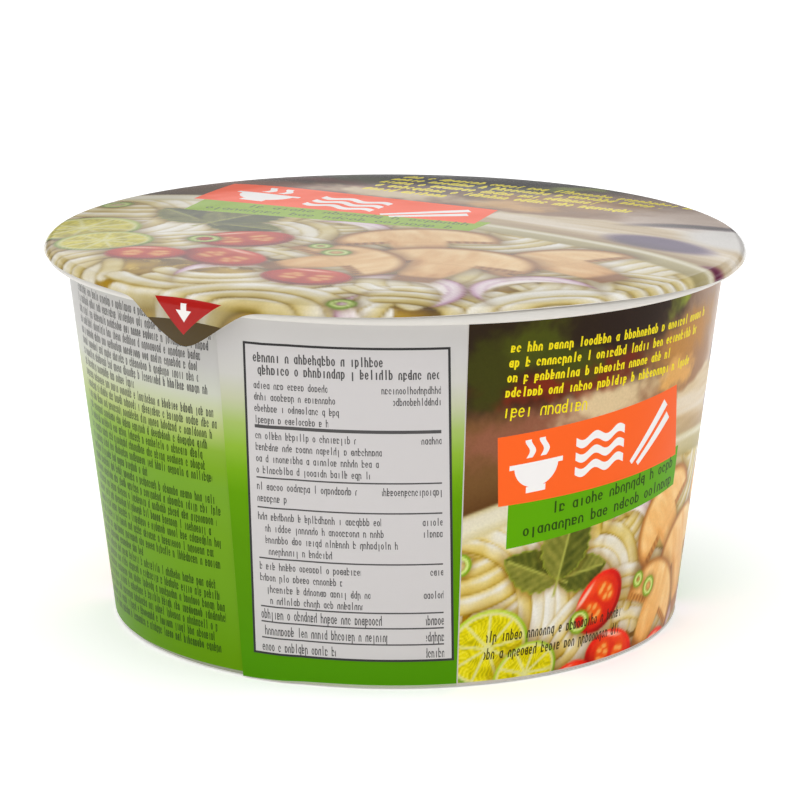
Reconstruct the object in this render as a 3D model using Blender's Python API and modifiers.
"""A sealed instant noodle cup: a wide white bowl with a rolled rim, a printed card wrap rolled
round its wall with a lapped seam, and a thin peel lid pressed over the rim, with a pull tab
folded down at the front left.

Metres, +Z up. The origin is the middle of the foot, and -Y is the front. Angles round the
bowl are in degrees from the front, growing towards +X.
"""

import math

import bmesh
import bpy

MM = 0.001

# The wrap's outer face is the cone that shows: its radius at the foot and at the rim's underside.
FOOT_RADIUS = 60.43 * MM
NECK_RADIUS = 69.28 * MM
NECK_HEIGHT = 77.2 * MM

# The rolled rim, as the lid's outer face passes over it.
LID_RADIUS = 74.0 * MM
LID_HEIGHT = 80.6 * MM
RIM_BEND = 2.35 * MM
RIM_BELLY = 1.0 * MM
LID_RISE = 0.9 * MM
RISE_INSIDE = 52.0 * MM

# How the shut lid sits: pressed a little lower on the right than on the left.
RIM_LEAN = 0.4 * MM
LEAN_FROM = 60.0 * MM

CARD = 0.45 * MM
FOIL = 0.3 * MM
GAP = 0.3 * MM

# The bowl's recessed foot.
FOOT_RING = 2.2 * MM
FOOT_RECESS = 4.5 * MM
FOOT_EDGE = 0.4 * MM

# The wrap: where its outer ply starts, how far the plies lap, and how its ends miss each other.
SEAM_ANGLE = -30.2
LAP_ANGLE = 8.0
LAP_FADE = 5.0
GLUE_LINE = 0.1 * MM
WRAP_FOOT = 0.3 * MM
WRAP_MISFIT = 0.8 * MM
WRAP_TOP = 76.9 * MM

# The lid's cut edge, as lengths along the foil past the bend, and its pull tab.
SKIRT = 3.0 * MM
SHORT_SKIRT = 1.1 * MM
SHORT_SKIRT_ANGLE = 24.0
SHORT_SKIRT_SPREAD = 20.0
LONG_SKIRT = 0.6 * MM
LONG_SKIRT_ANGLE = 66.0
LONG_SKIRT_SPREAD = 14.0
TAB_ANGLE = -34.9
TAB_LENGTH = 9.1 * MM
TAB_LEFT_SPREAD = 7.4
TAB_RIGHT_SPREAD = 9.4
TAB_ROUNDING = 0.3
TAB_ROOT_BLEND = 0.2
TAB_LEAN = 12.0

RIM_CENTRE = LID_RADIUS - RIM_BEND
BEND_HEIGHT = LID_HEIGHT - RIM_BEND

# How finely each piece is divided: steps round the axis, rows along its profile, and the radii of
# the rings of the bowl's crown and of the lid inside the rim, closer where the surface curves.
CUP_STEPS = 96
LID_STEPS = 144
WRAP_STEPS = 98
WRAP_ROWS = 4
SKIRT_ROWS = 6
BEAD_ROWS = 5
BELLY_ROWS = 2
CROWN_RINGS = [0.0, 40.0 * MM, 52.0 * MM, 58.0 * MM, 64.0 * MM, 69.0 * MM]
LID_RINGS = [0.0, 30.0 * MM, 46.0 * MM, 52.0 * MM, 57.0 * MM, 62.0 * MM, 67.0 * MM, RIM_CENTRE]
WELD = 0.01 * MM
SHARP_ANGLE = 35.0

# Finishes: linear colour and roughness.
BOWL_WHITE = ("bowl_white", (0.83, 0.82, 0.79), 0.45)
PRINTED_CARD = ("printed_card", (0.55, 0.56, 0.42), 0.4)
PRINTED_FOIL = ("printed_foil", (0.62, 0.55, 0.44), 0.3)


def clear_scene():
    for thing in list(bpy.data.objects):
        bpy.data.objects.remove(thing, do_unlink=True)


def collection_of(name):
    group = bpy.data.collections.new(name)
    bpy.context.scene.collection.children.link(group)
    return group


def material(name, colour, roughness):
    finish = bpy.data.materials.new(name)
    finish.use_nodes = True
    shader = finish.node_tree.nodes["Principled BSDF"]
    shader.inputs["Base Color"].default_value = (*colour, 1.0)
    shader.inputs["Roughness"].default_value = roughness
    finish.diffuse_color = (*colour, 1.0)
    return finish


def smoothstep(low, high, value):
    t = min(1.0, max(0.0, (value - low) / (high - low)))
    return t * t * (3.0 - 2.0 * t)


def wrap_radius(height):
    return FOOT_RADIUS + (NECK_RADIUS - FOOT_RADIUS) * height / NECK_HEIGHT


def lid_dome(radius):
    """Height of the lid inside the rim: flat in the middle, then falling ever faster outwards."""
    fall = max(0.0, (radius - RISE_INSIDE) / (RIM_CENTRE - RISE_INSIDE))
    return LID_HEIGHT + LID_RISE * (1.0 - fall * fall)


def lean(x, z):
    """How far the rim's part of the pack sits off its true height at x."""
    return -RIM_LEAN * x / LID_RADIUS * smoothstep(LEAN_FROM, NECK_HEIGHT, z)


def arc(centre_x, centre_z, radius, start, end, count):
    """Points of an arc, with its angles in degrees from +X towards +Z."""
    points = []
    for i in range(count + 1):
        angle = math.radians(start + (end - start) * i / count)
        x = centre_x + radius * math.cos(angle)
        z = centre_z + radius * math.sin(angle)
        points.append((x, z))
    return points


def place(name, mesh, finish, group):
    thing = bpy.data.objects.new(name, mesh)
    thing.data.materials.append(finish)
    group.objects.link(thing)
    return thing


def turned(name, profile, steps, finish, group):
    """A profile turned round Z, with its Screw modifier applied so that its points can be moved."""
    outline = bpy.data.meshes.new(name + "_profile")
    edges = [(i, i + 1) for i in range(len(profile) - 1)]
    outline.from_pydata([(x, 0.0, z) for x, z in profile], edges, [])
    thing = place(name, outline, finish, group)
    screw = thing.modifiers.new("turn", "SCREW")
    screw.angle = math.tau
    screw.steps = steps
    screw.render_steps = steps
    screw.use_merge_vertices = True
    screw.merge_threshold = WELD
    bpy.context.view_layer.update()
    finished = thing.evaluated_get(bpy.context.evaluated_depsgraph_get())
    solid = bpy.data.meshes.new_from_object(finished)
    solid.name = name
    thing.modifiers.clear()
    thing.data = solid
    bpy.data.meshes.remove(outline)
    return thing


def thicken(thing, thickness):
    """Give an open sheet its thickness on the side away from its normals."""
    shell = thing.modifiers.new("thickness", "SOLIDIFY")
    shell.thickness = thickness
    shell.offset = -1.0
    shell.use_even_offset = True


def shade(thing):
    thing.data.shade_smooth()
    thing.data.set_sharp_from_angle(angle=math.radians(SHARP_ANGLE))


def make_cup(group):
    """The white bowl, closed and filled up to just under its lid."""
    inset = CARD + GAP
    outer = FOOT_RADIUS - inset
    neck = wrap_radius(WRAP_TOP) - inset
    under_lid = FOIL + GAP
    bead = RIM_BEND - under_lid
    bead_edge = RIM_CENTRE + bead
    crown = [(radius, lid_dome(radius) - under_lid) for radius in CROWN_RINGS]
    over = arc(RIM_CENTRE, BEND_HEIGHT, bead, 90.0, 0.0, BEAD_ROWS)
    belly = arc(bead_edge - RIM_BELLY, BEND_HEIGHT, RIM_BELLY, -30.0, -90.0, BELLY_ROWS)
    ring = outer - FOOT_RING
    profile = crown + over + belly
    profile += [(neck, NECK_HEIGHT), (outer, FOOT_EDGE), (outer - FOOT_EDGE, 0.0)]
    profile += [(ring, 0.0), (ring - FOOT_EDGE, FOOT_RECESS), (0.0, FOOT_RECESS)]
    thing = turned("cup", profile, CUP_STEPS, material(*BOWL_WHITE), group)
    for vertex in thing.data.vertices:
        vertex.co.z += lean(vertex.co.x, vertex.co.z)
    shade(thing)


def make_wrap(group):
    """A strip of printed card rolled round the bowl: a flat grid, bent so that its ends lap."""
    strip = bmesh.new()
    bmesh.ops.create_grid(strip, x_segments=WRAP_STEPS, y_segments=WRAP_ROWS, size=1.0)
    sweep = 360.0 + LAP_ANGLE
    for vertex in strip.verts:
        turn = sweep * (vertex.co.x + 1.0) / 2.0
        up = (vertex.co.y + 1.0) / 2.0
        low = WRAP_FOOT + WRAP_MISFIT * min(1.0, turn / 360.0)
        height = low + (WRAP_TOP - low) * up
        lap = 1.0 - smoothstep(LAP_ANGLE, LAP_ANGLE + LAP_FADE, turn)
        radius = wrap_radius(height) + (CARD + GLUE_LINE) * lap
        angle = math.radians(SEAM_ANGLE + turn)
        x = radius * math.sin(angle)
        vertex.co = (x, -radius * math.cos(angle), height + lean(x, height))
    mesh = bpy.data.meshes.new("wrap")
    strip.to_mesh(mesh)
    strip.free()
    thing = place("wrap", mesh, material(*PRINTED_CARD), group)
    thicken(thing, CARD)
    shade(thing)


def tab_reach(angle):
    """0 away from the pull tab, 1 at its tip: straight sides, a round tip and soft shoulders."""
    off = (angle - TAB_ANGLE + 180.0) % 360.0 - 180.0
    spread = TAB_LEFT_SPREAD if off < 0.0 else TAB_RIGHT_SPREAD
    slope = 1.0 - (math.hypot(off / spread, TAB_ROUNDING) - TAB_ROUNDING)
    return 0.5 * (slope + math.hypot(slope, TAB_ROOT_BLEND))


def skirt_length(angle):
    """How far the foil runs past the bend: an uneven cut edge, with the tab as one long tongue."""
    short = ((angle - SHORT_SKIRT_ANGLE) / SHORT_SKIRT_SPREAD) ** 2
    long = ((angle - LONG_SKIRT_ANGLE) / LONG_SKIRT_SPREAD) ** 2
    edge = SKIRT - SHORT_SKIRT * math.exp(-short) + LONG_SKIRT * math.exp(-long)
    return edge + TAB_LENGTH * tab_reach(angle)


def draped(length):
    """Radius and height of the foil's outer face this far past the bend: over the rim, then down."""
    quarter = RIM_BEND * math.pi / 2.0
    turn = min(length, quarter) / RIM_BEND
    radius = RIM_CENTRE + RIM_BEND * math.sin(turn)
    height = BEND_HEIGHT + RIM_BEND * math.cos(turn)
    hang = max(0.0, length - quarter)
    lean_in = math.radians(TAB_LEAN) * smoothstep(0.0, TAB_LENGTH, hang)
    return radius - hang * math.sin(lean_in), height - hang * math.cos(lean_in)


def make_lid(group):
    """The peel lid: a flat blank, a disc with a tongue, pressed down over the rim."""
    skirt = [RIM_CENTRE + SKIRT * (i + 1) / SKIRT_ROWS for i in range(SKIRT_ROWS)]
    blank = [(radius, 0.0) for radius in LID_RINGS + skirt]
    thing = turned("lid", blank, LID_STEPS, material(*PRINTED_FOIL), group)
    for vertex in thing.data.vertices:
        x, y = vertex.co.x, vertex.co.y
        flat = math.hypot(x, y)
        if flat <= RIM_CENTRE:
            vertex.co.z = lid_dome(flat)
        else:
            angle = math.degrees(math.atan2(x, -y))
            share = (flat - RIM_CENTRE) / SKIRT
            radius, height = draped(share * skirt_length(angle))
            vertex.co = (x * radius / flat, y * radius / flat, height)
        vertex.co.z += lean(vertex.co.x, LID_HEIGHT)
    thicken(thing, FOIL)
    shade(thing)


def main():
    clear_scene()
    group = collection_of("instant_noodle_cup")
    make_cup(group)
    make_wrap(group)
    make_lid(group)


main()
